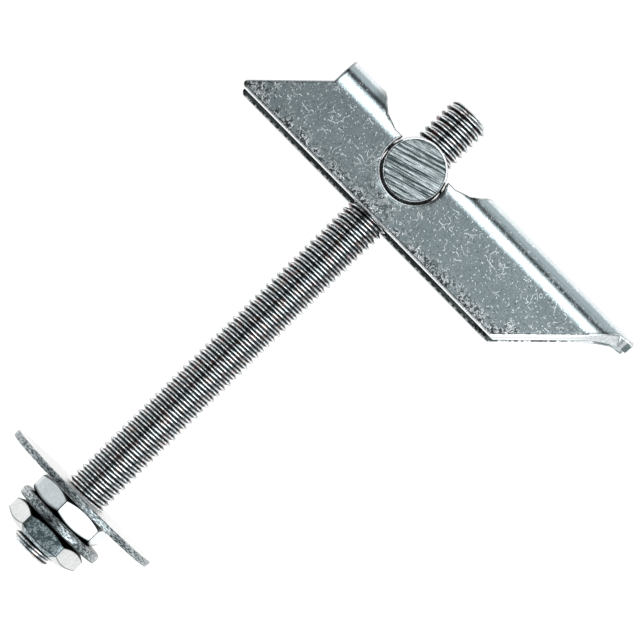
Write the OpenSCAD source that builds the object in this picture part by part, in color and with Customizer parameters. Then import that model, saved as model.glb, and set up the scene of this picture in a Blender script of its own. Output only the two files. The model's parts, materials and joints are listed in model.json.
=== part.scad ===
// Gravity toggle bolt, lying at rest on a flat surface.
//
// A threaded rod carries a folded sheet channel at one end. The channel turns on a round
// cross bar, the trunnion nut, that the rod is screwed through. The other end of the rod
// carries a penny washer, a thin nut, a plain washer and a second thin nut.
//
// Row frame: the part lies on z = 0. The rod runs along +X towards the toggle and dips a
// little, because the wide penny washer lifts its other end. The long arm of the toggle
// points along -Y. The origin is under the middle of the part's bounding box.
//
// Toggle frame, used inside the modules: the origin is the trunnion's centre, x runs along
// the rod towards its free stub, z runs along the trunnion and the long arm lies along -y.
// Threads are plain cylinders at their outer diameter.

/* [Threaded rod] */
// Length of the rod
rod_len = 100; // [90:1:140]
// Outer diameter of the thread
rod_d = 7.9; // [7.7:0.05:8]
// Chamfer at both ends of the rod
rod_chamfer = 0.9; // [0.4:0.1:1.4]
// Reach of the rod past the trunnion's centre
stub_reach = 13.5; // [9:0.1:20]

/* [Trunnion nut] */
// Metal left beside the rod, on the trunnion's diameter
eye_wall = 1.35; // [1:0.05:2]
// Play between trunnion and notch, on the radius
trunnion_gap = 0.25; // [0.1:0.05:0.4]
// Depth of the trunnion's ends below the outer faces of the channel
trunnion_recess = 0.5; // [0.45:0.05:0.8]
// Chamfer round the trunnion's ends
trunnion_chamfer = 0.35; // [0.2:0.05:0.5]

/* [Toggle channel] */
// Thickness of the sheet
sheet_t = 2; // [1.6:0.1:2.4]
// Play between the rod and each side wall
side_gap = 0.55; // [0.4:0.05:1.2]
// Play between the folded rod and the web
web_gap = 0.2; // [0.1:0.05:0.6]
// Outer radius of the two bends
bend_r = 5.3; // [4.4:0.1:5.8]
// Height of the bearing edges below the trunnion's centre
wall_drop = 10.1; // [8:0.1:14]
// Length of the long arm's bearing edges on the outer faces, from the trunnion's centre
long_edge = 27.2; // [20:0.1:33]
// How far the long arm's cut stands out on the inner face, as the cut slants
end_slant = 0.9; // [0:0.05:1.6]
// Length of the bearing edges on the short arm, from the trunnion's centre
short_edge = 30.1; // [24:0.1:36]
// Slope of the cut ends against the bearing edges
end_angle = 45; // [40:1:55]
// Radius of the sharp corners of the short arm
corner_r = 0.7; // [0.3:0.1:1.5]

/* [Tongue] */
// Width of the tongue at its root, measured flat across the bends
tongue_root_w = 8.2; // [7.4:0.1:9]
// Width of the tongue at its tip, measured flat across the bends
tongue_tip_w = 7; // [4:0.1:7]
// Length from root to tip on the outer face
tongue_tab = 2.7; // [2:0.05:4.5]

/* [Rod slot] */
// Height of the slot's lips above the trunnion's centre, measured flat
lip_rise = 2.15; // [1.8:0.05:2.6]
// Length across the flat lips that keep the trunnion in its notch
lip_len = 13.6; // [12.5:0.1:15]
// Rise of the slot's shoulders above the lips, measured flat
shoulder_rise = 0.9; // [0.5:0.05:1.5]
// Length across the shoulders
shoulder_len = 18.8; // [17:0.1:20]
// Rise of the slot's flare above the shoulders, measured flat
flare_rise = 1.25; // [0.8:0.05:2]
// Length across the top of the flare
flare_len = 21.5; // [20:0.1:23]
// Length of the slot along the middle of the web
slot_len = 27; // [24:0.1:32]

/* [Nuts] */
// Width across the flats of both nuts
nut_af = 12.8; // [12.4:0.05:13]
// Height of both nuts
nut_h = 4; // [3:0.1:6.5]
// Diameter of the flat left by the chamfer on each nut face
nut_face_d = 11.2; // [10.4:0.1:12]
// Slope of the nut's outer chamfer
nut_chamfer_angle = 30; // [20:1:35]
// Width of the countersink round each nut's thread
countersink = 0.4; // [0.2:0.05:0.7]
// Turn of the inner nut against the outer one
inner_nut_turn = 20; // [0:1:59]
// Play of the rod in nuts and trunnion, on the radius
thread_gap = 0.05; // [0.02:0.01:0.1]
// Rod left free beyond the outer nut
end_stub = 1.8; // [1:0.1:10]

/* [Washers] */
// Diameter of the penny washer
penny_d = 30; // [24:0.5:40]
// Thickness of the penny washer
penny_t = 1.2; // [1:0.1:2.5]
// Diameter of the plain washer
plain_d = 16.6; // [14:0.1:18]
// Thickness of the plain washer
plain_t = 1.6; // [1.2:0.1:2]
// Play of the rod in the washers, on the radius
washer_gap = 0.5; // [0.2:0.05:0.6]
// Play left where the plain washer is clamped nearest to the rod
plain_slack = 0.1; // [0.05:0.05:0.2]
// Rounding of the punched rims, cut as a small chamfer
rim_break = 0.15; // [0.05:0.05:0.3]

/* [Hidden] */
$fn = 96;
// How far cutting shapes stand past what they cut
over = 1;

// Trunnion, notch and channel section
trunnion_d = rod_d + 2 * (thread_gap + eye_wall);
notch_r = trunnion_d / 2 + trunnion_gap;
channel_w = rod_d + 2 * (side_gap + sheet_t);
trunnion_len = channel_w - 2 * trunnion_recess;
web_rise = rod_d / 2 + web_gap + sheet_t;
// The bends turn about two lines parallel to the arms
bend_x = web_rise - bend_r;
bend_z = channel_w / 2 - bend_r;

// Flat pattern: s is measured along the middle of the sheet. On a wall it equals x, then it
// follows the bend, and it ends at flat_mid on the middle of the web.
neutral_r = bend_r - sheet_t / 2;
bend_len = neutral_r * PI / 2;
flat_mid = bend_x + bend_len + bend_z;
bend_steps = 16;
// Positions across the sheet at which the wrapped cuts are computed, one side of the web
bend_s = [for (i = [0:bend_steps]) bend_x + bend_len * i / bend_steps];
web_s = bend_z > 0.05 ? [flat_mid - 0.02] : [];
function bend_between(low, high) =
    [for (s = bend_s) if (s > low + 0.05 && s < high - 0.05) s];

// Cut end of the long arm, as arm position over flat position. Its slant fades out along
// the tongue, so that the tip is square.
mitre = 1 / tan(end_angle);
tongue_root_s = flat_mid - tongue_root_w / 2;
tongue_tip_s = flat_mid - tongue_tip_w / 2;
tongue_root_u = long_edge + (tongue_root_s + wall_drop) * mitre;
tongue_reach = tongue_root_u + tongue_tab;
function long_end(depth) =
    let (slant = end_slant * depth / sheet_t)
        [
            [-wall_drop - over, long_edge - over * mitre + slant],
            [tongue_root_s, tongue_root_u + slant],
            [tongue_tip_s, tongue_reach],
            [flat_mid, tongue_reach]
        ];
tongue_s = concat([-wall_drop - over], bend_between(-wall_drop, tongue_root_s),
                  [tongue_root_s, tongue_tip_s], bend_between(tongue_tip_s, flat_mid + over),
                  web_s);

// Half of the slot, as arm position over flat position
shoulder_s = lip_rise + shoulder_rise;
flare_s = shoulder_s + flare_rise;
slot_half = [
    [lip_rise, lip_len / 2],
    [shoulder_s, shoulder_len / 2],
    [flare_s, flare_len / 2],
    [flat_mid, slot_len / 2]
];
slot_s = concat([lip_rise, shoulder_s], bend_between(shoulder_s, flare_s), [flare_s],
                bend_between(flare_s, flat_mid + over), web_s);

// Cut end of the short arm: the mitre ends where the bend starts
short_web = short_edge - (wall_drop + bend_x) * mitre;
corner_run = corner_r / tan(end_angle / 2);
short_reach = short_edge - corner_run + corner_r;

// Places along the rod, from its nut end
outer_nut_z = end_stub;
plain_washer_z = outer_nut_z + nut_h;
inner_nut_z = plain_washer_z + plain_t;
penny_washer_z = inner_nut_z + nut_h;
penny_face_z = penny_washer_z + penny_t;
trunnion_z = rod_len - stub_reach;

// Rest: the bends of one side and the rim of the penny washer touch the surface
grip = trunnion_z - penny_face_z;
rest_a = penny_d / 2 - bend_z;
rest_b = grip + rim_break + bend_x;
rest_dip = acos(bend_r / norm([rest_a, rest_b])) - atan2(rest_b, rest_a);
rest_height = bend_r + bend_x * sin(rest_dip) + bend_z * cos(rest_dip);
// The bounding box is centred on the middle of the rod and between the ends of the arms
rest_x = (rod_len / 2 - stub_reach) * cos(rest_dip);
rest_y = (tongue_reach - short_reach) / 2;

// Toggle frame placed in the row frame
module at_rest() {
    translate([rest_x, rest_y, rest_height]) rotate([0, rest_dip, 0]) children();
}

// A piece drawn along +Z, put on the rod with its base z from the rod's nut end
module on_rod(z) {
    at_rest() rotate([0, 90, 0]) translate([0, 0, z - trunnion_z]) children();
}

// Round bar along +Z with both ends chamfered
module chamfered_bar(d, len, chamfer) {
    r = d / 2;
    rotate_extrude()
        polygon([
            [0, 0], [r - chamfer, 0], [r, chamfer],
            [r, len - chamfer], [r - chamfer, len], [0, len]
        ]);
}

// Plain cylinder through a piece of height len, standing past both faces
module through_bore(r, len) {
    translate([0, 0, -over]) cylinder(r = r, h = len + 2 * over);
}

module threaded_rod() {
    color([0.62, 0.65, 0.67])
        on_rod(0) chamfered_bar(rod_d, rod_len, rod_chamfer);
}

module trunnion_nut() {
    bore_r = rod_d / 2 + thread_gap;
    color([0.72, 0.76, 0.77])
        at_rest()
            difference() {
                translate([0, 0, -trunnion_len / 2])
                    chamfered_bar(trunnion_d, trunnion_len, trunnion_chamfer);
                translate([-trunnion_d / 2, 0, 0])
                    rotate([0, 90, 0]) through_bore(bore_r, trunnion_d);
            }
}

// Filled outline of a U, open at the bottom, in the x-z plane of the toggle frame
module u_outline(half_w, top, bottom, r) {
    for (side = [-1, 1])
        translate([top - r, side * (half_w - r)]) circle(r = r);
    translate([bottom, -half_w]) square([top - r - bottom, 2 * half_w]);
    translate([top - r, r - half_w]) square([r, 2 * (half_w - r)]);
}

module u_section() {
    difference() {
        u_outline(channel_w / 2, web_rise, -wall_drop, bend_r);
        u_outline(channel_w / 2 - sheet_t, web_rise - sheet_t, -wall_drop - over,
                  bend_r - sheet_t);
    }
}

// Point of the folded sheet at arm position u, flat position s and depth below the outside
function folded(u, s, depth) =
    s < bend_x ? [s, channel_w / 2 - depth, u] :
    s > bend_x + bend_len ? [web_rise - depth, flat_mid - s, u] :
    let (a = (s - bend_x) / neutral_r * 180 / PI)
        [bend_x + (bend_r - depth) * sin(a), bend_z + (bend_r - depth) * cos(a), u];

function mirrored(p) = [p[0], -p[1], p[2]];

// The four corners of a wrapped cut at one flat position. Each end of the cut is given
// twice, above the sheet and below it.
function ring(low, high, s) = [
    folded(low[0], s, -over), folded(high[0], s, -over),
    folded(high[1], s, sheet_t + over), folded(low[1], s, sheet_t + over)
];

// Cut through the sheet, wrapped round both bends. low and high each hold two tables, for
// above and below the sheet, that give an end of the cut over the flat position. positions
// lists where they are computed.
module wrapped_cut(low, high, positions) {
    half = [
        for (s = positions)
            ring([for (table = low) lookup(s, table)], [for (table = high) lookup(s, table)], s)
    ];
    n = len(half);
    other = [for (i = [n - 1:-1:0]) [for (p = half[i]) mirrored(p)]];
    rings = concat(half, other);
    last = len(rings) - 1;
    sides = [
        for (i = [0:last - 1], k = [0:3])
            let (a = 4 * i + k, b = 4 * i + (k + 1) % 4)
                each [[a, a + 4, b + 4], [a, b + 4, b]]
    ];
    caps = [
        [0, 1, 2], [0, 2, 3],
        [4 * last + 2, 4 * last + 1, 4 * last], [4 * last + 3, 4 * last + 2, 4 * last]
    ];
    polyhedron(points = [for (r = rings) each r], faces = concat(sides, caps));
}

// Side view of what the short arm's end loses, as x against the distance along the arm
module short_end_profile() {
    far = short_edge + over;
    corner = [-wall_drop, short_edge];
    centre = [corner_r - wall_drop, short_edge - corner_run];
    difference() {
        polygon([
            [-wall_drop - over, far], [-wall_drop - over, short_edge - corner_run], centre,
            corner + corner_run * [sin(end_angle), -cos(end_angle)],
            [bend_x, short_web], [web_rise + over, short_web], [web_rise + over, far]
        ]);
        translate(centre) circle(r = corner_r);
    }
}

// Drawn with its arms along z, the long arm upwards, and laid into the toggle frame
module toggle_channel() {
    mitred = [long_end(-over), long_end(sheet_t + over)];
    beyond = [[0, tongue_reach + over]];
    slot_low = [for (p = slot_half) [p[0], -p[1]]];
    color([0.55, 0.59, 0.61])
        at_rest() rotate([90, 0, 0])
            difference() {
                translate([0, 0, -short_edge])
                    linear_extrude(short_edge + tongue_reach) u_section();
                wrapped_cut(mitred, [beyond, beyond], tongue_s);
                wrapped_cut([slot_low, slot_low], [slot_half, slot_half], slot_s);
                rotate([-90, 0, 0]) linear_extrude(2 * channel_w, center = true)
                    short_end_profile();
                rotate([-90, 0, 0]) cylinder(r = notch_r, h = 2 * channel_w, center = true);
            }
}

module washer(d, t) {
    difference() {
        chamfered_bar(d, t, rim_break);
        through_bore(rod_d / 2 + washer_gap, t);
    }
}

module penny_washer() {
    color([0.68, 0.72, 0.73])
        on_rod(penny_washer_z) washer(penny_d, penny_t);
}

module plain_washer() {
    color([0.60, 0.64, 0.66])
        on_rod(plain_washer_z) translate([0, plain_slack - washer_gap, 0])
            washer(plain_d, plain_t);
}

// Hexagon nut, chamfered and countersunk on both faces, with a flat towards the side
module hex_nut() {
    corner_d = nut_af / cos(30);
    face_r = nut_face_d / 2;
    slope = tan(nut_chamfer_angle);
    rim_r = corner_d / 2 + over;
    drop = (rim_r - face_r) * slope;
    bore_r = rod_d / 2 + thread_gap;
    sink_r = bore_r + countersink;
    difference() {
        intersection() {
            rotate(30) cylinder(d = corner_d, h = nut_h, $fn = 6);
            rotate_extrude()
                polygon([
                    [0, 0], [face_r, 0], [rim_r, drop],
                    [rim_r, nut_h - drop], [face_r, nut_h], [0, nut_h]
                ]);
        }
        through_bore(bore_r, nut_h);
        rotate_extrude()
            polygon([[0, 0], [sink_r, 0], [0, sink_r]]);
        rotate_extrude()
            polygon([[0, nut_h], [sink_r, nut_h], [0, nut_h - sink_r]]);
    }
}

module inner_nut() {
    color([0.74, 0.77, 0.78])
        on_rod(inner_nut_z) rotate(inner_nut_turn) hex_nut();
}

module outer_nut() {
    color([0.74, 0.77, 0.78])
        on_rod(outer_nut_z) hex_nut();
}

threaded_rod();
trunnion_nut();
toggle_channel();
penny_washer();
inner_nut();
plain_washer();
outer_nut();
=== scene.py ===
import json
import math

import bpy
import bmesh
from mathutils import Matrix, Vector, noise
from mathutils.geometry import delaunay_2d_cdt


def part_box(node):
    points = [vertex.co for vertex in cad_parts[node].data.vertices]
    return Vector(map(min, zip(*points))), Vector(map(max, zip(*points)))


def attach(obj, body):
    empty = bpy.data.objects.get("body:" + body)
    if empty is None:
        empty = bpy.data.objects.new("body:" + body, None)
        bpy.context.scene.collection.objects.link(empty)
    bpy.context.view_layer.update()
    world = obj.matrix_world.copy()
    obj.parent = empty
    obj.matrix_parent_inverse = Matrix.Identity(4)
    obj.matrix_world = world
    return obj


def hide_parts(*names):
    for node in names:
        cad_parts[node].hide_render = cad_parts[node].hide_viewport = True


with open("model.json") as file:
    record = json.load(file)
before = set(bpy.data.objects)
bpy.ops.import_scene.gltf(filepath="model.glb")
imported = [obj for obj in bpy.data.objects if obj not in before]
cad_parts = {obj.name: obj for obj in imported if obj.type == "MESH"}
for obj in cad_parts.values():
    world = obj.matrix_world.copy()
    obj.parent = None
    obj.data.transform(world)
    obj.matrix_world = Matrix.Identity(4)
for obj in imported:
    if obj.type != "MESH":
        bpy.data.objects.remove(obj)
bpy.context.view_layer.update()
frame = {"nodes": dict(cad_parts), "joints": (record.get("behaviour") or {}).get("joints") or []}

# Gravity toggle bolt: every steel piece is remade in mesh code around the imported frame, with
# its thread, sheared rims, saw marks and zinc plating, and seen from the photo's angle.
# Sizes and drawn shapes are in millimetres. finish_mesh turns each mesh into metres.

MM = 0.001
TAU = 2 * math.pi

# ---------------------------------------------------------------- places from the frame

joints = {j["name"]: j for j in frame["joints"]}
ALONG = Vector(joints["trunnion_feed"]["axis"]).normalized()
ARM = Vector((0, -1, 0))
UP = ARM.cross(ALONG).normalized()
low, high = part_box("trunnion_nut")
CENTRE = (low + high) / 2


def frame_matrix(x, y, z, origin):
    m = Matrix.Identity(4)
    for column, axis in enumerate((x, y, z)):
        for row in range(3):
            m[row][column] = axis[row]
    m.translation = origin
    return m


# Toggle frame: x along the rod, -y along the long arm, z along the trunnion
TOGGLE = frame_matrix(ALONG, -ARM, UP, CENTRE)
# Rod frame: z along the rod, measured from the trunnion's centre
ROD = frame_matrix(-UP, -ARM, ALONG, CENTRE)


def offsets(node):
    """A CAD node's vertices from the trunnion's centre, in metres."""
    return [v.co - CENTRE for v in frame["nodes"][node].data.vertices]


def span(node, axis):
    """Lowest and highest place of a node along an axis from the trunnion's centre, in mm."""
    places = [d.dot(axis) / MM for d in offsets(node)]
    return min(places), max(places)


def outer_radius(node):
    """Largest distance of a node's vertices from the rod's axis, in mm."""
    return max((d - ALONG * d.dot(ALONG)).length / MM for d in offsets(node))


# ---------------------------------------------------------------- mesh helpers


def finish_mesh(name, bm, place, smooth_angle=None):
    """Turns a bmesh drawn in millimetres into an object placed in the metre frame."""
    bmesh.ops.recalc_face_normals(bm, faces=bm.faces)
    for face in bm.faces:
        face.smooth = True
    bm.transform(Matrix.Scale(MM, 4))
    mesh = bpy.data.meshes.new(name)
    bm.to_mesh(mesh)
    bm.free()
    if smooth_angle is not None:
        mesh.set_sharp_from_angle(angle=math.radians(smooth_angle))
    obj = bpy.data.objects.new(name, mesh)
    bpy.context.scene.collection.objects.link(obj)
    obj.matrix_world = place
    bpy.context.view_layer.update()
    return obj


def weighted(obj):
    """Weights a piece's normals by face area, so that flat faces shade flat."""
    mod = obj.modifiers.new("Weighted", "WEIGHTED_NORMAL")
    mod.keep_sharp = True
    mod.weight = 80
    return obj


def dress(obj, body, node, material):
    """Gives a piece its material and the body it rides, and hides the CAD node it stands for."""
    obj.data.materials.clear()
    obj.data.materials.append(material)
    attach(obj, body)
    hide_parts(node)


def grid_faces(bm, rings):
    """Quads between neighbouring closed rings of vertices."""
    for a, b in zip(rings[:-1], rings[1:]):
        n = len(a)
        for i in range(n):
            j = (i + 1) % n
            unique = list(dict.fromkeys((a[i], a[j], b[j], b[i])))
            if len(unique) > 2:
                bm.faces.new(unique)


def jitter(x, y, z, scale, seed=0.0):
    return noise.noise(Vector((x * scale + seed, y * scale - seed, z * scale + 0.37 * seed)))


# ---------------------------------------------------------------- threaded rod

PITCH = 1.25
ROD_LOW, ROD_HIGH = span("threaded_rod", ALONG)
CREST_R = outer_radius("threaded_rod") - 0.05
ROOT_R = CREST_R - 0.68
END_R = CREST_R - 0.9
THREAD_PHASE = 0.513
# Where the crest ends and the root starts, as shares of a pitch from the crest's middle
CREST_END, ROOT_START = 0.085, 0.385
THREAD_COLUMNS, THREAD_ROWS = 56, 12
THREAD_ROUGH = 0.02


def thread_radius(turn):
    """Radius of the thread's outline at a place within one pitch, 0 to 1."""
    turn = abs((turn + 0.5) % 1.0 - 0.5)
    if turn <= CREST_END:
        return CREST_R
    if turn >= ROOT_START:
        return ROOT_R
    ease = (turn - CREST_END) / (ROOT_START - CREST_END)
    return CREST_R + (ROOT_R - CREST_R) * ease


def build_rod():
    """Rod with one helical thread: rows climb with the angle, and a turn joins the next."""
    bm = bmesh.new()
    columns, rows = THREAD_COLUMNS, THREAD_ROWS
    count = int(math.ceil((ROD_HIGH - ROD_LOW) / PITCH)) * rows + 2 * rows
    start = ROD_LOW - PITCH
    grid = []
    for k in range(count + rows + 1):
        line = []
        for j in range(columns):
            angle = TAU * j / columns
            z = start + (k / rows + j / columns) * PITCH
            turn = (z - start) / PITCH - j / columns
            r = thread_radius(turn + THREAD_PHASE)
            r += THREAD_ROUGH * jitter(math.cos(angle) * 3, math.sin(angle) * 3, z, 0.9)
            z = min(max(z, ROD_LOW), ROD_HIGH)
            from_end = min(z - ROD_LOW, ROD_HIGH - z)
            r = min(r, END_R + from_end)
            line.append(bm.verts.new((r * math.cos(angle), r * math.sin(angle), z)))
        grid.append(line)
    for k in range(count):
        for j in range(columns - 1):
            bm.faces.new((grid[k][j], grid[k][j + 1], grid[k + 1][j + 1], grid[k + 1][j]))
        bm.faces.new((grid[k][columns - 1], grid[k + rows][0], grid[k + rows + 1][0],
                      grid[k + 1][columns - 1]))
    bmesh.ops.remove_doubles(bm, verts=bm.verts, dist=1e-5)
    bmesh.ops.dissolve_degenerate(bm, edges=bm.edges, dist=1e-6)
    loose = [v for v in bm.verts if not v.link_faces]
    bmesh.ops.delete(bm, geom=loose, context="VERTS")
    border = [e for e in bm.edges if e.is_boundary]
    bmesh.ops.holes_fill(bm, edges=border, sides=0)
    return finish_mesh("rod_thread", bm, ROD, 50)


# ---------------------------------------------------------------- washers

WASHER_BORE_R = 4.45
WASHER_SEGMENTS = 240


def build_washer(name, node, roll, seed):
    """Punched washer: rolled over on one face, torn and burred on the other."""
    z0, z1 = span(node, ALONG)
    x0, x1 = span(node, -UP)
    y0, y1 = span(node, -ARM)
    middle_x, middle_y = (x0 + x1) / 2, (y0 + y1) / 2
    outer = (y1 - y0) / 2
    bore_r = WASHER_BORE_R
    t = z1 - z0
    outline = []
    for share in (0, 0.25, 0.55, 0.8, 1.0):
        a = share * math.pi / 2
        outline.append((outer - roll * (1 - math.sin(a)), z1 - roll * (1 - math.cos(a))))
    rolled = len(outline) - 1
    outline += [(outer, z1 - 0.45 * t), (outer - 0.03, z0 + 0.35 * t),
                (outer - 0.05, z0 + 0.16 * t), (outer - 0.08, z0 + 0.06 * t), (outer - 0.2, z0)]
    rim_count = len(outline)
    between = (outer + bore_r) / 2
    outline += [(between, z0), (bore_r + 0.12, z0), (bore_r + 0.02, z0 + 0.1),
                (bore_r, z0 + 0.5 * t), (bore_r + 0.03, z1 - 0.12), (bore_r + 0.16, z1),
                (between, z1)]

    def roughened(index, a, r, z):
        """The rim's points with a punched edge's unevenness; the others as they are."""
        if index >= rim_count:
            return r, z
        x, y = math.cos(a) * r, math.sin(a) * r
        rough = jitter(x, y, z * 2, 1.6, seed) * 0.035 + jitter(x, y, z * 3, 5.0, seed) * 0.02
        fade = 0.4 if index < rolled else 1.0
        return r - 0.04 + rough * fade, min(max(z + 0.5 * rough * fade, z0), z1)

    bm = bmesh.new()
    shade = bm.verts.layers.float.new("shade")
    rings = []
    for index, (r, z) in enumerate(outline):
        ring = []
        for i in range(WASHER_SEGMENTS):
            a = TAU * i / WASHER_SEGMENTS
            rr, zz = roughened(index, a, r, z)
            ring.append(bm.verts.new((rr * math.cos(a) + middle_x, rr * math.sin(a) + middle_y,
                                      zz)))
        rings.append(ring)
    grid_faces(bm, rings + [rings[0]])
    # The flat faces are marked for a painted shade where they clamp, and kept apart from the rim's
    # mottle
    for ring in [rings[0]] + rings[rim_count - 1:]:
        for v in ring:
            v[shade] = 1.0
    return weighted(finish_mesh(name, bm, ROD, 60))


# ---------------------------------------------------------------- trunnion

SAW_ANGLE = math.radians(-73.5)
TRUNNION_R = (span("trunnion_nut", ARM)[1] - span("trunnion_nut", ARM)[0]) / 2
BEVEL = 0.3
# How far the chamfer's rim lies below the sawn end's highest ridges
RIM_SINK = 0.06
DEEPEST_CUT = 0.12
TRUNNION_BORE_R = 4.0


def saw_mark(x, y, end):
    """Depth of the sawn end at a place, with x along the cut and y across it."""
    broad = noise.noise(Vector((0.05 * x + 3 * end, 1.3 * y, 2.0 * end)))
    narrow = noise.noise(Vector((0.12 * x, 3.1 * y, 7.0 + end)))
    fine = noise.noise(Vector((0.9 * x, 7.0 * y, 13.0 + end)))
    groove = max(0.0, abs(narrow) - 0.12) * 0.16
    return min(max(0.035 + 0.03 * broad + groove + 0.010 * fine, 0.0), DEEPEST_CUT)


def build_trunnion():
    """Cross bar with sawn, chamfered ends and a bore for the rod."""
    low_w, high_w = span("trunnion_nut", UP)
    r = TRUNNION_R
    half_steps = 216
    segments = 2 * half_steps
    bm = bmesh.new()

    def ring(rr, height):
        return [bm.verts.new((rr * math.cos(TAU * i / segments + SAW_ANGLE),
                              rr * math.sin(TAU * i / segments + SAW_ANGLE), height))
                for i in range(segments)]

    rings = []
    for step in (0.0, 0.35, 1.0):
        rings.append(ring(r - BEVEL * (1 - step), low_w + RIM_SINK + BEVEL * step))
    rows = 16
    length = high_w - low_w - 2 * RIM_SINK - 2 * BEVEL
    for i in range(1, rows):
        rings.append(ring(r, low_w + RIM_SINK + BEVEL + length * (i / rows)))
    for step in (1.0, 0.35, 0.0):
        rings.append(ring(r - BEVEL * (1 - step), high_w - RIM_SINK - BEVEL * step))
    grid_faces(bm, rings)

    columns = 14
    flat_r = r - BEVEL
    for border, base, sign in ((rings[0], low_w, 1), (rings[-1], high_w, -1)):
        lines = []
        for k in range(half_steps + 1):
            angle = math.pi * (k / half_steps - 0.5)
            y, reach = flat_r * math.sin(angle), flat_r * math.cos(angle)
            right = border[(k - half_steps // 2) % segments]
            left = border[(3 * half_steps // 2 - k) % segments]
            line = [left]
            if left is not right:
                for c in range(1, columns):
                    x = reach * (2 * c / columns - 1)
                    depth = saw_mark(x, y, sign)
                    turned = (x * math.cos(SAW_ANGLE) - y * math.sin(SAW_ANGLE),
                              x * math.sin(SAW_ANGLE) + y * math.cos(SAW_ANGLE))
                    line.append(bm.verts.new((*turned, base + sign * depth)))
                line.append(right)
            lines.append(line)
        for a, b in zip(lines[:-1], lines[1:]):
            if len(a) == 1 or len(b) == 1:
                tip, other = (a, b) if len(a) == 1 else (b, a)
                for i in range(len(other) - 1):
                    bm.faces.new((tip[0], other[i], other[i + 1]))
                continue
            for i in range(columns):
                bm.faces.new((a[i], a[i + 1], b[i + 1], b[i]))
    obj = finish_mesh("trunnion_bar", bm, TOGGLE, 40)

    cutter_bm = bmesh.new()
    bmesh.ops.create_cone(cutter_bm, cap_ends=True, segments=96, radius1=TRUNNION_BORE_R,
                          radius2=TRUNNION_BORE_R, depth=30)
    cutter = finish_mesh("cutter", cutter_bm, ROD)
    mod = obj.modifiers.new("Bore", "BOOLEAN")
    mod.operation = "DIFFERENCE"
    mod.solver = "EXACT"
    mod.object = cutter
    bpy.context.view_layer.update()
    evaluated = obj.evaluated_get(bpy.context.evaluated_depsgraph_get())
    mesh = bpy.data.meshes.new_from_object(evaluated)
    obj.modifiers.clear()
    obj.data = mesh
    bpy.data.objects.remove(cutter)
    mesh.set_sharp_from_angle(angle=math.radians(25))
    return obj


# ---------------------------------------------------------------- nuts

NUT_HALF, NUT_BORE_R, SINK_R = 6.4, 4.0, 4.4
# Radius at which a chamfer starts, its slope, the worn arris beside it and the corner's round
FACE_R = 5.6
SLOPE = math.tan(math.radians(30))
ARRIS, CORNER_CUT = 0.07, 0.056
LINE_W = 0.16
# Places along one side, close together at its corners, where the painted shade line is
SHARES = [0.004, 0.022] + [0.022 + 0.956 * i / 12 for i in range(1, 12)] + [0.978, 0.996]


def build_nut(name, node, turn, caps, tones, lower_r=FACE_R):
    """Hexagon nut with chamfered, slightly rounded corners and a countersunk bore.

    caps gives the painted shade on its two chamfered faces, tones the painted shade of its six
    sides and lower_r the radius at which the lower chamfer starts."""
    z0, z1 = span(node, ALONG)
    mid, h = (z0 + z1) / 2, (z1 - z0) / 2
    per_side = len(SHARES)
    angles = [math.radians(60 * side - 30 + 60 * f) for side in range(6) for f in SHARES]

    def hex_radius(a):
        local = (a + math.radians(30)) % math.radians(60) - math.radians(30)
        return min(NUT_HALF / math.cos(local),
                   NUT_HALF / math.cos(math.radians(30)) - CORNER_CUT)

    def half_rows(face_r):
        """Rows of (radius, height) from the bore's sink to the corner, for one face."""
        rows = [[(SINK_R, h)] * len(angles), [(face_r - ARRIS, h)] * len(angles),
                [(face_r + ARRIS, h - ARRIS * SLOPE * 1.2)] * len(angles)]
        for f in (0.35, 0.7, 1.0):
            row = []
            for a in angles:
                r_hex = max(hex_radius(a) - ARRIS, face_r + ARRIS + 0.02)
                r = face_r + ARRIS + (r_hex - face_r - ARRIS) * f
                row.append((r, h - (r - face_r) * SLOPE))
            rows.append(row)
        corner = [hex_radius(a) for a in angles]
        rows.append([(r, h - max(r - face_r, ARRIS) * SLOPE - ARRIS) for r in corner])
        return rows

    def ring(places):
        return [bm.verts.new((r * math.cos(a + math.radians(turn)),
                              r * math.sin(a + math.radians(turn)), z))
                for (r, z), a in zip(places, angles)]

    bm = bmesh.new()
    shade = bm.verts.layers.float.new("shade")
    tone = bm.verts.layers.float.new("tone")
    upper, lower = half_rows(FACE_R), half_rows(lower_r)
    rings = []
    # The chamfers carry the painted shade given by caps, and the corner row a full painted shade
    # line
    for rows, sign in ((upper, 1), (lower[::-1], -1)):
        for row in rows:
            rings.append(ring([(r, mid + sign * z) for r, z in row]))
            for v in rings[-1]:
                v[shade] = 1.0 if row in (upper[-1], lower[-1]) else caps[sign]
        if sign == 1:
            for side, inset in ((1, LINE_W), (1, 0.8), (-1, 0.8), (-1, LINE_W)):
                rings.append(ring([(r, mid + side * max(z - inset, 0.1)) for r, z in upper[-1]]))
    for one in rings:
        for k, v in enumerate(one):
            v[tone] = tones[k // per_side]
            # A painted shade line down each corner
            if k % per_side in (0, per_side - 1):
                v[shade] = max(v[shade], 0.85)
    for r, z in ((NUT_BORE_R, -h + (SINK_R - NUT_BORE_R)), (NUT_BORE_R, 0.0),
                 (NUT_BORE_R, h - (SINK_R - NUT_BORE_R))):
        rings.append(ring([(r, mid + z)] * len(angles)))
    grid_faces(bm, rings + [rings[0]])
    return weighted(finish_mesh(name, bm, ROD, 32))


# ---------------------------------------------------------------- toggle channel
# The sheet is drawn flat, with u along the long arm and s across the sheet, from the near
# wall's line through the trunnion's centre over the web to the far wall, and then folded.

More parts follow.
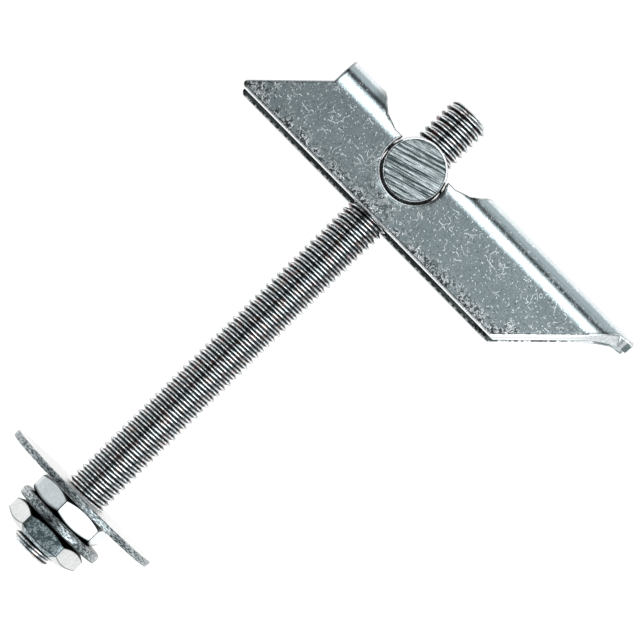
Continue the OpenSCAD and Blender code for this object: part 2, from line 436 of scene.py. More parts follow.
SHEET = 2.0
WIDTH = 13.0
WEB_RISE = 6.15
BEND_R = 5.3
WALL_DROP = 10.1
BEND_X = WEB_RISE - BEND_R
BEND_Z = WIDTH / 2 - BEND_R
NEUTRAL_R = BEND_R - SHEET / 2
BEND_LEN = NEUTRAL_R * math.pi / 2
FLAT_MID = BEND_X + BEND_LEN + BEND_Z
FLAT_TOP = 2 * FLAT_MID
LONG_EDGE, END_SLANT = 27.2, 0.9
ROOT_S, TIP_S, TAB = FLAT_MID - 4.1, FLAT_MID - 3.5, 2.7
ROOT_U = LONG_EDGE + ROOT_S + WALL_DROP
REACH = ROOT_U + TAB
SHORT_EDGE, CORNER_R = 30.1, 0.7
SHORT_WEB = SHORT_EDGE - (WALL_DROP + BEND_X)
LIP_S, LIP_U = 2.15, 6.8
SHOULDER_S, SHOULDER_U = 3.05, 9.4
FLARE_S, FLARE_U = 4.3, 10.75
SLOT_U = 13.5
NOTCH_R = 5.6
EDGE_R = 0.16
# Roundings of the outline's and the hole's corners, and the steps of their points
OUTER_ROUND, OUTER_STEP = 0.3, 0.4
HOLE_ROUND, HOLE_STEP = 0.5, 0.35
# Steps of the points within the sheet, and how near its rim they may come
BEND_STEP, WALL_STEP, ARM_STEP, CLEAR_OF_RIM = 0.34, 1.0, 0.8, 0.3
CELL = 4.0


def folded(u, s, depth):
    """Point of the folded sheet in the toggle frame, for a flat place and a depth in it."""
    mirror = s > FLAT_MID
    if mirror:
        s = FLAT_TOP - s
    if s < BEND_X:
        x, z = s, WIDTH / 2 - depth
    elif s > BEND_X + BEND_LEN:
        x, z = WEB_RISE - depth, FLAT_MID - s
    else:
        a = (s - BEND_X) / NEUTRAL_R
        x = BEND_X + (BEND_R - depth) * math.sin(a)
        z = BEND_Z + (BEND_R - depth) * math.cos(a)
    return Vector((x, -u, -z if mirror else z))


def long_edge_at(s):
    """Place of the long end's cut along the arm: slanted on the wall, out to the tongue."""
    s = min(s, FLAT_TOP - s)
    if s <= ROOT_S:
        return LONG_EDGE + s + WALL_DROP
    if s <= TIP_S:
        return ROOT_U + (REACH - ROOT_U) * (s - ROOT_S) / (TIP_S - ROOT_S)
    return REACH


def slant_at(u, s, depth):
    """Shift along the arm that slants the long end's cut, fading into the sheet and tongue."""
    t = min(s, FLAT_TOP - s)
    fade = 1.0 if t <= ROOT_S else max(0.0, 1 - (t - ROOT_S) / (TIP_S - ROOT_S))
    near = min(max((u - long_edge_at(s) + 4) / 4, 0.0), 1.0)
    return END_SLANT * depth / SHEET * fade * near


def resample(points, step):
    """A closed outline with points at most a step apart."""
    out = []
    n = len(points)
    for i in range(n):
        a, b = Vector(points[i]), Vector(points[(i + 1) % n])
        count = max(1, int(math.ceil((b - a).length / step)))
        for k in range(count):
            out.append(a.lerp(b, k / count))
    return out


def round_corners(points, radius, steps=4):
    """Rounds the corners of a closed outline that turn by more than 25 degrees."""
    out = []
    n = len(points)
    for i in range(n):
        p, q, r = Vector(points[i - 1]), Vector(points[i]), Vector(points[(i + 1) % n])
        a, b = (p - q), (r - q)
        turn = math.pi - a.angle(b)
        cut = radius * math.tan(turn / 2)
        if turn < math.radians(25) or cut > 0.45 * min(a.length, b.length):
            out.append(q)
            continue
        start, end = q + a.normalized() * cut, q + b.normalized() * cut
        for k in range(steps + 1):
            f = k / steps
            out.append((1 - f) ** 2 * start + 2 * f * (1 - f) * q + f ** 2 * end)
    return out


def mirrored(points):
    """The same points on the far half of the sheet, in the opposite order."""
    return [(u, FLAT_TOP - s) for u, s in reversed(points)]


def flat_outline():
    """Outline of the flat sheet: the long end with its tongue, then the short end."""
    near = [(LONG_EDGE, -WALL_DROP), (ROOT_U, ROOT_S), (REACH, TIP_S)]
    short = [(-SHORT_WEB, BEND_X)]
    run = CORNER_R / math.tan(math.radians(45) / 2)
    cx, cy = -(SHORT_EDGE - run), -WALL_DROP + CORNER_R
    for k in range(7):
        a = math.radians(135 + (270 - 135) * k / 6)
        short.append((cx + CORNER_R * math.cos(a), cy + CORNER_R * math.sin(a)))
    return near + mirrored(near) + mirrored(short) + short


def slot_outline():
    """Outline of the rod's slot, with a notch for the trunnion in each wall."""
    start = math.atan2(LIP_S, math.sqrt(NOTCH_R ** 2 - LIP_S ** 2))
    arc = []
    for k in range(41):
        a = start - (math.pi + 2 * start) * k / 40
        arc.append((NOTCH_R * math.cos(a), NOTCH_R * math.sin(a)))
    rim = [(LIP_U, LIP_S), (SHOULDER_U, SHOULDER_S), (FLARE_U, FLARE_S)]
    near = rim[::-1] + arc + [(-u, s) for u, s in rim]
    return near + [(-SLOT_U, FLAT_MID)] + mirrored(near) + [(SLOT_U, FLAT_MID)]


def inside(point, loop):
    x, y = point
    hit = False
    n = len(loop)
    for i in range(n):
        x1, y1 = loop[i]
        x2, y2 = loop[(i + 1) % n]
        if (y1 > y) != (y2 > y) and x < (x2 - x1) * (y - y1) / (y2 - y1) + x1:
            hit = not hit
    return hit


def inward(loop, hole):
    """Directions from a loop's points into the sheet, lengthened at corners."""
    n = len(loop)
    area = sum(loop[i].x * loop[(i + 1) % n].y - loop[(i + 1) % n].x * loop[i].y
               for i in range(n))
    sign = (1 if area > 0 else -1) * (-1 if hole else 1)
    out = []
    for i in range(n):
        a = (loop[i] - loop[i - 1]).normalized()
        b = (loop[(i + 1) % n] - loop[i]).normalized()
        na, nb = Vector((-a.y, a.x)) * sign, Vector((-b.y, b.x)) * sign
        m = na + nb
        if m.length < 1e-6:
            m = na.copy()
        m.normalize()
        out.append(m / max(m.dot(na), 0.45))
    return out


def flat_mesh(loops):
    """Triangulates the flat sheet within its inset loops.

    Returns the places, the faces and the index of each rim point among the places."""
    points, edges = [], []
    for loop, normals in loops:
        base, n = len(points), len(loop)
        for i in range(n):
            points.append(loop[i] + normals[i] * EDGE_R)
            edges.append((base + i, base + (i + 1) % n))
    rim_points = points[:]
    outer_count = len(loops[0][0])
    inset_outer, inset_hole = points[:outer_count], points[outer_count:]

    def in_sheet(q):
        return inside(q, inset_outer) and not inside(q, inset_hole)

    s_values = []
    s = -WALL_DROP + 0.7
    while s < FLAT_TOP + WALL_DROP - 0.3:
        s_values.append(s)
        bend = BEND_X - 0.5 < min(s, FLAT_TOP - s) < BEND_X + BEND_LEN + 0.3
        s += BEND_STEP if bend else WALL_STEP
    u = -SHORT_EDGE + ARM_STEP / 2
    while u < REACH:
        for row, s in enumerate(s_values):
            q = Vector((u + (ARM_STEP / 2 if row % 2 else 0.0), s))
            if in_sheet(q) and min((q - p).length_squared for p in rim_points) > CLEAR_OF_RIM ** 2:
                points.append(q)
        u += ARM_STEP
    places, _, faces, origin = delaunay_2d_cdt(points, edges, [], 0, 1e-7, True)[:4]
    found = {}
    for index, sources in enumerate(origin):
        for source in sources:
            found[source] = index
    kept = [f for f in faces if in_sheet(sum((places[i] for i in f), Vector((0, 0))) / len(f))]
    return places, kept, found


def build_channel():
    """Folded channel with rounded rims. Attributes: rim is the distance from the nearest
    rim, within the depth in the sheet as a share, and hole marks the slot's rim."""
    outer = resample(round_corners(flat_outline(), OUTER_ROUND), OUTER_STEP)
    hole = resample(round_corners(slot_outline(), HOLE_ROUND), HOLE_STEP)
    loops = [(outer, inward(outer, False)), (hole, inward(hole, True))]
    places, faces, found = flat_mesh(loops)

    bm = bmesh.new()
    rim = bm.verts.layers.float.new("rim")
    within = bm.verts.layers.float.new("within")
    hole_rim = bm.verts.layers.float.new("hole")
    cells = {}
    for p in outer + hole:
        cells.setdefault((int(p.x // CELL), int(p.y // CELL)), []).append(p)

    def from_border(q):
        cx, cy = int(q.x // CELL), int(q.y // CELL)
        near = [p for i in (-1, 0, 1) for j in (-1, 0, 1) for p in cells.get((cx + i, cy + j), ())]
        return min([(q - p).length for p in near] + [CELL])

    def add(q, depth):
        v = bm.verts.new(folded(q.x + slant_at(q.x, q.y, depth), q.y, depth))
        v[rim] = from_border(q)
        v[within] = depth / SHEET
        return v

    sides = {}
    for depth in (0.0, SHEET):
        used = {}
        for f in faces:
            for i in f:
                if i not in used:
                    used[i] = add(places[i], depth)
        for f in faces:
            order = list(f) if depth == 0.0 else list(reversed(f))
            bm.faces.new([used[i] for i in order])
        sides[depth] = used
    base = 0
    bevel = [(EDGE_R * (1 - math.sin(math.radians(a))), EDGE_R * (1 - math.cos(math.radians(a))))
             for a in (30, 60, 90)]
    steps = bevel + [(inset, SHEET - depth) for inset, depth in reversed(bevel)]
    for loop, normals in loops:
        n = len(loop)
        rings = [[sides[0.0][found[base + i]] for i in range(n)]]
        for inset, depth in steps:
            rings.append([add(loop[i] + normals[i] * inset, depth) for i in range(n)])
        rings.append([sides[SHEET][found[base + i]] for i in range(n)])
        if loop is hole:
            for v in [v for ring in rings for v in ring]:
                v[hole_rim] = 1.0
        grid_faces(bm, rings)
        base += n
    return weighted(finish_mesh("channel_sheet", bm, TOGGLE, 50))


# ---------------------------------------------------------------- materials

# Heights of the bump maps, in metres
RELIEF, SHEET_RELIEF = 0.00004, 0.00005


class Nodes:
    """Short calls for the nodes of a material or of the world."""

    def __init__(self, owner):
        owner.use_nodes = True
        self.owner = owner
        self.tree = owner.node_tree
        self.tree.nodes.clear()

    def add(self, kind, **values):
        node = self.tree.nodes.new(kind)
        for key, value in values.items():
            setattr(node, key, value)
        return node

    def feed(self, value, socket):
        """Sets a socket from a number or a colour, or links it to another node's output."""
        if isinstance(value, (int, float)):
            socket.default_value = value
        elif isinstance(value, tuple):
            socket.default_value = (*value, 1.0)
        else:
            self.tree.links.new(value, socket)

    def attribute(self, name):
        return self.add("ShaderNodeAttribute", attribute_name=name).outputs["Fac"]

    def coords(self):
        """Object coordinates in millimetres."""
        return self.scaled(self.add("ShaderNodeTexCoord").outputs["Object"], (1000, 1000, 1000))

    def xyz(self, vector):
        node = self.add("ShaderNodeSeparateXYZ")
        self.feed(vector, node.inputs["Vector"])
        return node.outputs["X"], node.outputs["Y"], node.outputs["Z"]

    def scaled(self, vector, scale, turn=0.0, offset=(0, 0, 0)):
        node = self.add("ShaderNodeMapping")
        self.feed(vector, node.inputs["Vector"])
        node.inputs["Scale"].default_value = scale
        node.inputs["Rotation"].default_value = (0, 0, turn)
        node.inputs["Location"].default_value = offset
        return node.outputs["Vector"]

    def moved(self, vector, turn, offset):
        return self.scaled(vector, (1, 1, 1), turn, offset)

    def noise(self, vector, scale, detail=2.0, rough=0.5, distort=0.0):
        node = self.add("ShaderNodeTexNoise")
        self.feed(vector, node.inputs["Vector"])
        for key, value in (("Scale", scale), ("Detail", detail), ("Roughness", rough),
                           ("Distortion", distort)):
            node.inputs[key].default_value = value
        return node.outputs["Fac"]

    def math(self, kind, *values):
        node = self.add("ShaderNodeMath", operation=kind)
        for index, value in enumerate(values):
            self.feed(value, node.inputs[index])
        return node.outputs["Value"]

    def product(self, a, b):
        return self.math("MULTIPLY", a, b)

    def total(self, a, b):
        return self.math("ADD", a, b)

    def rest(self, a):
        return self.math("SUBTRACT", 1.0, a)

    def off(self, a, middle):
        """Distance from a middle value."""
        return self.math("ABSOLUTE", self.math("SUBTRACT", a, middle))

    def highest(self, *values):
        top = values[0]
        for value in values[1:]:
            top = self.math("MAXIMUM", top, value)
        return top

    def radius(self, vector):
        """Distance from the z axis."""
        x, y, _ = self.xyz(vector)
        return self.math("SQRT", self.total(self.product(x, x), self.product(y, y)))

    def step(self, value, low, high, out_low=0.0, out_high=1.0):
        node = self.add("ShaderNodeMapRange", interpolation_type="SMOOTHSTEP")
        self.feed(value, node.inputs["Value"])
        for key, number in (("From Min", low), ("From Max", high), ("To Min", out_low),
                            ("To Max", out_high)):
            node.inputs[key].default_value = number
        return node.outputs["Result"]

    def fall(self, value, low, high, out=1.0):
        return self.step(value, low, high, out, 0.0)

    def mix(self, factor, a, b):
        node = self.add("ShaderNodeMix", data_type="RGBA")
        self.feed(factor, node.inputs["Factor"])
        for key, value in (("A", a), ("B", b)):
            self.feed(value, [s for s in node.inputs if s.name == key and s.type == "RGBA"][0])
        return [s for s in node.outputs if s.type == "RGBA"][0]

    def squiggles(self, vector, scale, width, seed, cover):
        """Thin wandering lines: where a noise crosses its middle, in patches."""
        moved = self.moved(vector, 0.7 * seed, (seed * 11.3, seed * 5.1, seed * 2.7))
        line = self.fall(self.off(self.noise(moved, scale, 1.0, 0.4, 0.6), 0.5), 0.0, width)
        patch = self.noise(moved, scale * 0.8, 1.0, 0.5)
        return self.product(line, self.step(patch, 1 - cover, 1 - cover + 0.08))

    def shader(self, colour, rough, bump=None, strength=0.25, distance=RELIEF, metallic=1.0):
        node = self.add("ShaderNodeBsdfPrincipled")
        node.inputs["Metallic"].default_value = metallic
        self.feed(colour, node.inputs["Base Color"])
        self.feed(rough, node.inputs["Roughness"])
        if bump is not None:
            relief = self.add("ShaderNodeBump")
            relief.inputs["Strength"].default_value = strength
            relief.inputs["Distance"].default_value = distance
            self.feed(bump, relief.inputs["Height"])
            self.feed(relief.outputs["Normal"], node.inputs["Normal"])
        out = self.add("ShaderNodeOutputMaterial")
        self.feed(node.outputs["BSDF"], out.inputs["Surface"])
        return self.owner


def material_nodes(name):
    return Nodes(bpy.data.materials.new(name))


SHADE = (0.05, 0.058, 0.06)
GAP_SHADE = (0.02, 0.024, 0.025)
SHEET_DARK, SHEET_GREY = (0.33, 0.40, 0.42), (0.60, 0.67, 0.69)
SHEET_LIGHT, EDGE_LIGHT = (0.93, 0.95, 0.96), (0.95, 0.96, 0.96)
HIGHLIGHT_GREY, REFLECTION_DARK = (0.60, 0.62, 0.625), (0.27, 0.33, 0.35)
CUT_DARK, CUT_LIGHT, TIP_DARK = (0.36, 0.40, 0.41), (0.70, 0.72, 0.72), (0.2, 0.25, 0.26)
SIDE_MOTTLE = (0.43, 0.50, 0.52)
GROOVE_SHADE, RUST, RUST_PALE = (0.024, 0.038, 0.04), (0.13, 0.058, 0.048), (0.72, 0.62, 0.58)
THREAD_DARK, THREAD_LIGHT = (0.45, 0.50, 0.52), (0.94, 0.96, 0.97)
SAWN_DARK, SAWN_LIGHT = (0.055, 0.075, 0.08), (0.55, 0.6, 0.61)


def zinc_sheet():
    """Plating on the folded sheet: mottled grey, curled scratches, rough dark bearing rims.

    height_v runs from the bearing edges up to the web, side_u from the long arm's tip
    (negative) to the short arm and height_w across the walls, from the trunnion's centre."""
    m = material_nodes("zinc_sheet")
    place = m.coords()
    rim, within, hole = m.attribute("rim"), m.attribute("within"), m.attribute("hole")
    height_v, side_u, height_w = m.xyz(place)

    # Plating: two greys, clouds and pits, with specks and scratches of three sizes
    grain = m.noise(place, 3.2, 3.0, 0.7)
    cloud = m.noise(place, 0.22, 3.0, 0.6)
    specks = m.step(m.noise(place, 2.3, 0.5, 0.5), 0.68, 0.73)
    pits = m.step(m.noise(m.moved(place, 1.0, (9, 4, 0)), 2.2, 1.0, 0.5), 0.66, 0.72)
    curls = m.highest(m.squiggles(place, 0.42, 0.017, 1.0, 0.46),
                      m.squiggles(place, 0.75, 0.024, 2.3, 0.42),
                      m.product(m.squiggles(place, 1.3, 0.034, 3.7, 0.36), 0.7))
    light = m.highest(m.product(curls, 0.9), m.product(specks, 0.85))
    colour = m.mix(m.step(grain, 0.25, 0.75), SHEET_DARK, SHEET_GREY)
    colour = m.mix(m.product(m.step(cloud, 0.3, 0.7), 0.5), colour, SHEET_DARK)
    colour = m.mix(m.product(pits, 0.45), colour, SHADE)
    colour = m.mix(light, colour, SHEET_LIGHT)

    # Rough rim: light and dark streaks on the outer face, strongest at the bearing edges
    rough_rim = m.product(m.fall(rim, 0.6, 3.2),
                          m.step(m.noise(place, 0.42, 1.0, 0.5), 0.34, 0.5))
    rough_rim = m.product(rough_rim, m.fall(within, 0.5, 0.6))
    rough_rim = m.product(rough_rim, m.step(height_v, -7.0, -5.5, 1.0, 0.25))
    wiggle = m.noise(m.moved(place, 0.3, (3, 7, 0)), 2.1, 1.5, 0.6, 0.9)
    streak = m.mix(m.step(wiggle, 0.44, 0.54), SHADE, SHEET_LIGHT)
    colour = m.mix(m.product(rough_rim, 0.92), colour, streak)

    # Dark outline along every rim, partly burr and partly painted shade, broken on the walls and
    # whole on the bends
    dashes = m.step(m.noise(place, 1.6, 1.0, 0.5), 0.38, 0.55, 0.35, 1.0)
    outline = m.product(m.fall(rim, 0.36, 0.52), m.highest(dashes, m.step(height_v, 2.8, 3.4)))
    colour = m.mix(m.product(outline, 0.85), colour, SHADE)

    # Bends: a neutral grey band that whitens the lamp's highlight there, a painted dark reflection
    # line, and a painted highlight above it
    # Neutral grey where the bend's highlight falls, to whiten it
    highlight_tint = m.product(m.step(height_v, 1.3, 1.9), m.fall(height_v, 2.5, 3.0, 0.7))
    colour = m.mix(highlight_tint, colour, HIGHLIGHT_GREY)
    # Painted dark reflection along the bend
    drawn = m.product(m.step(height_v, 3.9, 4.15), m.fall(height_v, 4.85, 5.1))
    colour = m.mix(m.product(drawn, 0.85), colour, REFLECTION_DARK)
    # Painted highlight on the web above the bend
    colour = m.mix(m.step(height_v, 5.1, 5.3, 0.0, 0.45), colour, SHEET_LIGHT)

    # Painted shade in the nook where the slot's rim meets the short arm's bend
    nook_shade = m.product(m.step(height_v, 3.4, 3.8), m.step(side_u, 9.0, 10.0))
    colour = m.mix(m.product(nook_shade, m.fall(side_u, 12.0, 14.0, 0.6)), colour, SHADE)

    # Cut faces: a painted highlight over bare steel on the sheared bearing edges and long end, mid
    # grey on the slot's rim, painted shade on the other cuts and in the gap round the trunnion,
    # darker along the middle, and dark dashes along the seam
    cut = m.mix(m.fall(m.off(within, 0.42), 0.05, 0.16, 0.6), EDGE_LIGHT, SHEET_DARK)
    # Dark dashes near the inner face, partly burr and partly painted shade
    seam_shade = m.product(m.step(within, 0.84, 0.92), m.step(height_v, 1.0, 3.5, 1.0, 0.3))
    cut = m.mix(m.product(seam_shade, dashes), cut, SHADE)
    # Painted highlight on the bearing edges and the long end, over bare sheared steel; painted
    # shade on the other cuts
    sheared_and_lit = m.highest(m.fall(height_v, 0.2 - WALL_DROP, 0.4 - WALL_DROP),
                        m.fall(side_u, -24, -22), 0.3)
    hole = m.step(hole, 0.2, 0.6)
    # Painted shade at the slot's very rim, in the gap round the trunnion
    punched = m.product(hole, m.step(rim, 0.1, 0.17, 0.0, 0.45))
    cut = m.mix(m.highest(m.product(sheared_and_lit, m.rest(hole)), punched), SHADE, cut)

    # The long end's curled cut is dull, its tongue has a painted highlight stripe and a dark tip
    curled = m.product(m.step(height_v, -2.5, 2.0), m.fall(side_u, -36, -34, 0.85))
    cut = m.mix(curled, cut, m.mix(m.step(grain, 0.3, 0.7), CUT_DARK, CUT_LIGHT))
    highlight_stripe = m.product(m.step(side_u, 1.0 - REACH, 1.1 - REACH),
                       m.fall(side_u, 1.5 - REACH, 1.6 - REACH, 0.9))
    cut = m.mix(highlight_stripe, cut, EDGE_LIGHT)
    tip = m.product(m.fall(side_u, 0.9 - REACH, 1.1 - REACH, 0.85), m.step(within, 0.12, 0.22))
    cut = m.mix(tip, cut, TIP_DARK)
    edge = m.fall(rim, 0.24, 0.30)
    colour = m.mix(edge, colour, cut)

    # Painted shade on the lower wall's rims and on the arms' inner faces
    colour = m.mix(m.product(edge, m.fall(height_w, -4.9, -4.5, 0.97)), colour, SHADE)
    inside_face = m.product(m.step(within, 0.93, 0.98), m.step(rim, 0.17, 0.3))
    inner_shade = m.highest(m.step(side_u, -37, -28, 0.0, 0.75),
                     m.fall(m.math("ABSOLUTE", side_u), 14, 24, 0.96))
    colour = m.mix(m.product(inside_face, inner_shade), colour, SHADE)

    rough = m.total(m.product(m.noise(place, 7.0, 1.0, 0.5), 0.08), 0.1)
    height = m.total(m.product(grain, 0.5), m.product(light, 0.5))
    height = m.total(height, m.product(m.product(rough_rim, wiggle), 2.5))
    return m.shader(colour, rough, height, 0.3, SHEET_RELIEF)


def zinc_plain(name, light, dark, rough_low, grain_scale, low, high, gap_shade=0.0, shaded_side=None,
               rim=None, seam_shade=None):
    """Mottled plating between two tones, with painted shade on the faces that clamp.

    shaded_side paints shade on the sides marked by tone, rim holds the two tones of the outer
    edge, and seam_shade the height of its middle and how far from there its painted shadow borders
    start."""
    m = material_nodes(name)
    place = m.coords()
    grain = m.noise(place, grain_scale, 3.0, 0.65, 0.3)
    cloud = m.noise(place, 0.5, 2.0, 0.5)
    tone = m.total(m.product(grain, 0.7), m.product(cloud, 0.3))
    colour = m.mix(m.step(tone, low, high), dark, light)
    # Painted shade, mottled, on the sides marked by tone
    if shaded_side:
        patches = m.step(m.noise(place, 1.5, 2.0, 0.6, 1.2), 0.42, 0.6)
        colour = m.mix(m.step(m.attribute("tone"), 0.3, 0.7), colour,
                       m.mix(patches, shaded_side, SIDE_MOTTLE))
    if rim:
        speckle = m.step(m.noise(m.scaled(place, (0.5, 0.5, 2.0)), 3.0, 2.5, 0.7, 0.5), 0.42, 0.6)
        colour = m.mix(m.step(m.attribute("shade"), 0.3, 0.7), m.mix(speckle, *rim), colour)
    # Painted shadow along both borders of the rim, where it meets the nuts
    if seam_shade:
        middle, start = seam_shade
        border = m.step(m.off(m.xyz(place)[2], middle), start, start + 0.12, 0.0, 0.9)
        colour = m.mix(border, colour, SHADE)
    # Painted shade on the faces marked by shade, where the parts clamp together
    if gap_shade:
        colour = m.mix(m.product(m.attribute("shade"), gap_shade), colour, GAP_SHADE)
    rough = m.total(m.product(grain, 0.2), rough_low)
    return m.shader(colour, rough, grain)


def zinc_thread():
    """Bright crests and roots, flanks darkened with a painted groove shade, and a trace of brown
    rust.
    """
    m = material_nodes("zinc_thread")
    place = m.coords()
    grain = m.noise(place, 2.2, 3.0, 0.65)
    wander = m.product(m.math("SUBTRACT", grain, 0.5), 0.35)
    height = m.total(m.radius(place), wander)
    flank = m.product(m.step(height, ROOT_R - 0.02, ROOT_R + 0.1),
                      m.fall(height, CREST_R - 0.16, CREST_R - 0.04))
    rust = m.step(m.noise(place, 0.7, 2.0, 0.6), 0.49, 0.63)
    bright = m.mix(m.step(grain, 0.35, 0.65), THREAD_DARK, THREAD_LIGHT)
    bright = m.mix(m.product(rust, 0.4), bright, RUST_PALE)
    # Painted shade on the flanks, with brown rust in patches
    colour = m.mix(flank, bright, m.mix(rust, GROOVE_SHADE, RUST))
    rough = m.total(m.product(grain, 0.12), 0.14)
    return m.shader(colour, rough, grain)


def sawn_steel():
    """Sawn bar end: the grooves are in the mesh, with dark and light streaks along them."""
    m = material_nodes("sawn_steel")
    place = m.coords()
    turned = m.moved(place, -SAW_ANGLE, (0, 0, 0))
    saw = m.noise(m.scaled(turned, (0.08, 3.3, 0.2)), 1.0, 2.0, 0.6, 0.1)
    fine = m.noise(m.scaled(turned, (0.7, 6.0, 0.4)), 1.0, 2.0, 0.6, 0.2)
    tone = m.total(m.product(saw, 0.7), m.product(fine, 0.3))
    colour = m.mix(m.step(tone, 0.42, 0.58), SAWN_DARK, SAWN_LIGHT)
    # Rings at the outer edge, from the inside out: a faint painted shade line, a painted highlight
    # on the chamfer, and painted shade in the gap round the bar
    radius = m.radius(place)
    for start, end, amount, ring in ((0.56, 0.5, 0.7, SHADE), (0.38, 0.33, 1.0, EDGE_LIGHT),
                                     (0.1, 0.03, 1.0, SHADE)):
        share = m.step(radius, TRUNNION_R - start, TRUNNION_R - end, 0.0, amount)
        colour = m.mix(share, colour, ring)
    rough = m.total(m.product(m.noise(place, 3.0, 2.0, 0.6), 0.15), 0.2)
    return m.shader(colour, rough, fine, 0.3)


# ---------------------------------------------------------------- pieces

# Painted shade on a nut's two chamfered faces where they meet the washers, by the side it is on,
# and its strength
BOTH_SHADED, UPPER_SHADED = {1: 1.0, -1: 1.0}, {1: 1.0, -1: 0.0}
NUT_GAP_SHADE = 0.95
# The inner nut's chamfer beside the plain washer starts further out than the others
INNER_LOWER_R = 6.15
PLAIN_MIDDLE = sum(span("plain_washer", ALONG)) / 2

dress(build_rod(), "rod", "threaded_rod", zinc_thread())
dress(build_trunnion(), "trunnion", "trunnion_nut", sawn_steel())
dress(build_channel(), "toggle", "toggle_channel", zinc_sheet())
dress(build_washer("penny_disc", "penny_washer", 0.3, 3.1), "penny_washer", "penny_washer",
      zinc_plain("zinc_penny", (0.82, 0.81, 0.80), (0.60, 0.61, 0.61), 0.24, 2.6, 0.34, 0.5,
                 rim=((0.06, 0.075, 0.08), (0.5, 0.54, 0.55))))
dress(build_nut("inner_hex", "inner_nut", 20, BOTH_SHADED, (0,) * 6, INNER_LOWER_R),
      "inner_nut", "inner_nut",
      zinc_plain("zinc_nut", (0.84, 0.87, 0.88), (0.70, 0.74, 0.76), 0.16, 2.0, 0.3, 0.7,
                 gap_shade=NUT_GAP_SHADE))
dress(build_washer("plain_disc", "plain_washer", 0.55, 7.7), "plain_washer", "plain_washer",
      zinc_plain("zinc_washer", (0.84, 0.88, 0.89), (0.26, 0.30, 0.31), 0.2, 2.6, 0.42, 0.58,
                 gap_shade=NUT_GAP_SHADE, rim=((0.05, 0.065, 0.07), (0.55, 0.59, 0.6)),
                 seam_shade=(PLAIN_MIDDLE + 0.1, 0.6)))
dress(build_nut("outer_hex", "outer_nut", 0, UPPER_SHADED, (0, 0, 0, 1, 0, 0)),
      "outer_nut", "outer_nut",
      zinc_plain("zinc_nut_outer", (0.74, 0.745, 0.74), (0.55, 0.56, 0.56), 0.16, 2.4, 0.3, 0.7,
                 gap_shade=NUT_GAP_SHADE, shaded_side=(0.10, 0.14, 0.15)))

# ---------------------------------------------------------------- floor, light and camera

FLOOR_DROP = 0.0002
FLOOR_GLOW = 0.93

floor_bm = bmesh.new()
bmesh.ops.create_grid(floor_bm, x_segments=8, y_segments=8, size=3000)
floor = finish_mesh("floor", floor_bm, Matrix.Translation((0, 0, -FLOOR_DROP)))
paint = material_nodes("floor_paint")
floor.data.materials.append(paint.shader((0.25, 0.25, 0.25), 0.9, metallic=0.0))
glow = [n for n in paint.tree.nodes if n.type == "BSDF_PRINCIPLED"][0]
glow.inputs["Emission Color"].default_value = (1.0, 1.0, 1.0, 1.0)
glow.inputs["Emission Strength"].default_value = FLOOR_GLOW

# Strengths of the dome's parts and of the two soft boxes, and the dome's tint
DIM, OVERHEAD, SIDE_GLOW, FRONT_GLOW, GAP_GLOW = 0.2, 0.6, 0.75, 0.8, 0.1
BOX_A, BOX_B = 2.6, 3.0
SLIT_DEPTH = 0.85
DOME_TINT, PAPER = (0.93, 0.98, 1.0), (1.0, 1.0, 1.0)


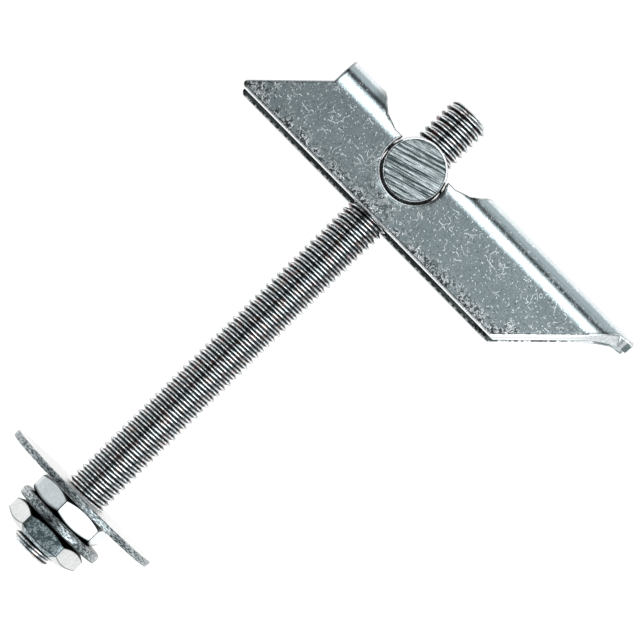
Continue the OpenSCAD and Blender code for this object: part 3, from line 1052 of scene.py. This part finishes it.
def build_world():
    """Studio dome: grey overhead, brighter sides, two soft boxes and a dark slit.

    Directions are two tilts from the toggle's upward axis in degrees, tilt_v towards the rod's
    free end and tilt_u towards the long arm. The camera itself sees plain paper."""
    world = bpy.data.worlds.new("studio")
    bpy.context.scene.world = world
    m = Nodes(world)
    way = m.add("ShaderNodeTexCoord").outputs["Generated"]

    def along(axis):
        node = m.add("ShaderNodeVectorMath", operation="DOT_PRODUCT")
        m.feed(way, node.inputs[0])
        node.inputs[1].default_value = axis
        return node.outputs["Value"]

    def tilt(axis):
        return m.math("DEGREES", m.math("ARCTAN2", along(axis), along(UP)))

    def band(value, start, end, soft):
        return m.product(m.step(value, start - soft, start + soft),
                         m.fall(value, end - soft, end + soft))

    tilt_v, tilt_u = tilt(ALONG), tilt(ARM)
    lean = m.highest(m.math("MINIMUM", tilt_u, 5.0), -5.0)
    askew = m.total(tilt_v, m.product(lean, 1.4))
    level = m.highest(m.step(tilt_u, -12, 6, DIM, OVERHEAD),
                      m.step(tilt_u, -85, -20, SIDE_GLOW, DIM),
                      m.step(tilt_u, 60, 85, 0.0, SIDE_GLOW / 2),
                      m.fall(tilt_v, -85, -50, SIDE_GLOW))
    front = m.product(m.step(tilt_v, 50, 56), m.fall(m.math("ABSOLUTE", tilt_u), 30, 60))
    level = m.total(m.product(level, m.rest(front)),
                    m.product(m.step(askew, 71, 77, GAP_GLOW, FRONT_GLOW), front))
    box_a = m.product(m.step(tilt_v, 9, 20), m.fall(askew, 45, 60))
    box_a = m.product(box_a, band(tilt_u, -50, 9, 3))
    box_b = m.product(band(tilt_u, 13, 56, 4), band(tilt_v, -50, 30, 8))
    level = m.highest(level, m.product(box_a, BOX_A), m.product(box_b, BOX_B))
    slit = m.product(band(tilt_u, -33, -11, 4), band(tilt_v, -60, 60, 5))
    level = m.product(level, m.rest(m.product(slit, SLIT_DEPTH)))

    seen = m.add("ShaderNodeMixShader")
    m.feed(m.add("ShaderNodeLightPath").outputs["Is Camera Ray"], seen.inputs["Fac"])
    for socket, colour, strength in ((1, DOME_TINT, level), (2, PAPER, 1.0)):
        glow = m.add("ShaderNodeBackground")
        m.feed(colour, glow.inputs["Color"])
        m.feed(strength, glow.inputs["Strength"])
        m.feed(glow.outputs["Background"], seen.inputs[socket])
    out = m.add("ShaderNodeOutputWorld")
    m.feed(seen.outputs["Shader"], out.inputs["Surface"])


build_world()

# The camera was fitted to the photo: its eye in mm along ALONG, ARM and UP from the trunnion's
# centre, the small turn, in radians, that is left after a view down UP with the rod rising at
# 45 degrees, and the lens and sensor in mm
EYE = (-52.617, 5.590, 463.065)
TURN = (-0.0372537, -0.0400326, 0.0069047)
LENS, SENSOR = 161.9415, 36
DIAGONAL = math.sqrt(0.5)
look = (Matrix.Rotation(Vector(TURN).length, 3, Vector(TURN))
        @ Matrix(((DIAGONAL, DIAGONAL, 0), (-DIAGONAL, DIAGONAL, 0), (0, 0, -1))))
axes = [ALONG * row[0] + ARM * row[1] + UP * row[2] for row in look]
eye = CENTRE + (ALONG * EYE[0] + ARM * EYE[1] + UP * EYE[2]) * MM
camera_data = bpy.data.cameras.new("camera")
camera_data.lens = LENS
camera_data.sensor_width = SENSOR
camera_data.clip_start = 0.01
camera = bpy.data.objects.new("camera", camera_data)
bpy.context.scene.collection.objects.link(camera)
camera.matrix_world = frame_matrix(axes[0], -axes[1], -axes[2], eye)
bpy.context.scene.camera = camera
bpy.context.scene.view_settings.view_transform = "Standard"
